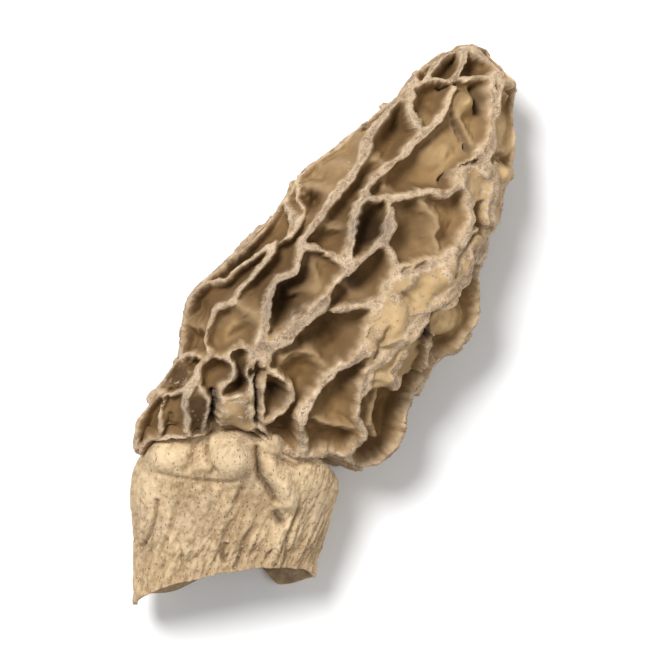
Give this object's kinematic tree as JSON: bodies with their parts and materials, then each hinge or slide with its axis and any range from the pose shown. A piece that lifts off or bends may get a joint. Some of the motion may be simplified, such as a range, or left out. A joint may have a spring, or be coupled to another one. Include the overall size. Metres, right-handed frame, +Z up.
{
  "type": "dried yellow morel",
  "caption": "Dried morel mushroom lying on its side: slanting conical cap with a net of pale ribs over deep pits, on a hollow cream stem cut off at its lower end.",
  "frame": {"origin": "centre of the bounding box in plan, on the surface that the morel lies on", "axes": "+Z up from that surface, +Y from the cut end of the stem toward the tip of the cap, +X to the right as seen from above"},
  "size_m": [0.0484, 0.0696, 0.0232],
  "materials": {
    "cap": "dry, tough and wrinkled, with rough pale rib crests and smoother waxy brown pits",
    "stem": "dry, cream, mealy and granular, with fine lengthwise wrinkles and small dark pores"
  },
  "bodies": {
    "root": {"cap": "cap", "stem": "stem"}
  },
  "joints": []
}
